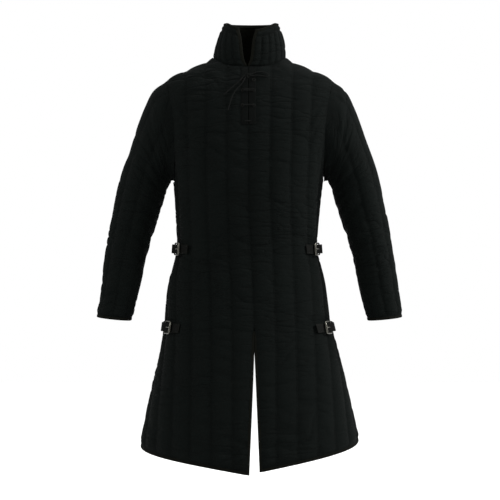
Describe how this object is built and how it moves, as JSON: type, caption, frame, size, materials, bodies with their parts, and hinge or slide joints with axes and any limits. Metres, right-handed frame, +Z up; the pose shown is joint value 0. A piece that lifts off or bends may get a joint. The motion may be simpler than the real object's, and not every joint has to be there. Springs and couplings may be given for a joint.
{
  "type": "gambeson",
  "caption": "Padded, channel-quilted long coat with standing collar, laced neck slit, riding slits and buckled side straps, in its hollow worn form.",
  "frame": {"origin": "between the shoulders at the base of the neck, where the wearer carries the coat", "axes": "+Z up the body, -Y out of the front, +X to the right of someone who faces the front"},
  "size_m": [0.7568, 0.4026, 1.1028],
  "materials": {
    "quilted_cotton": "matt black cotton, quilted over padding",
    "binding": "matt black bias strip",
    "facing": "matt black cotton strip",
    "lace": "twisted cotton cord",
    "strap": "black leather with an eased edge",
    "nickel": "nickel-plated wire, lightly worn"
  },
  "bodies": {
    "root": {"back_panel": "quilted_cotton", "buckle_frame_hip_left": "nickel", "buckle_frame_hip_right": "nickel", "buckle_frame_waist_left": "nickel", "buckle_frame_waist_right": "nickel", "buckle_pin_hip_left": "nickel", "buckle_pin_hip_right": "nickel", "buckle_pin_waist_left": "nickel", "buckle_pin_waist_right": "nickel", "buckle_roller_hip_left": "nickel", "buckle_roller_hip_right": "nickel", "buckle_roller_waist_left": "nickel", "buckle_roller_waist_right": "nickel", "chape_hip_left": "strap", "chape_hip_right": "strap", "chape_waist_left": "strap", "chape_waist_right": "strap", "collar": "quilted_cotton", "collar_binding": "binding", "cuff_binding_left": "binding", "cuff_binding_right": "binding", "eyelet_1_left": "lace", "eyelet_1_right": "lace", "eyelet_2_left": "lace", "eyelet_2_right": "lace", "eyelet_3_left": "lace", "eyelet_3_right": "lace", "front_panel": "quilted_cotton", "lace_end_long": "lace", "lace_end_short": "lace", "lace_knot": "lace", "lace_loop": "lace", "lacing_lower": "lace", "lacing_middle": "lace", "lacing_upper": "lace", "neck_facing_left": "facing", "neck_facing_right": "facing", "skirt_binding_back_left": "binding", "skirt_binding_back_right": "binding", "skirt_binding_front_left": "binding", "skirt_binding_front_right": "binding", "sleeve_left": "quilted_cotton", "sleeve_right": "quilted_cotton", "slit_bar_tack": "binding", "strap_hip_left": "strap", "strap_hip_right": "strap", "strap_waist_left": "strap", "strap_waist_right": "strap"}
  },
  "joints": []
}
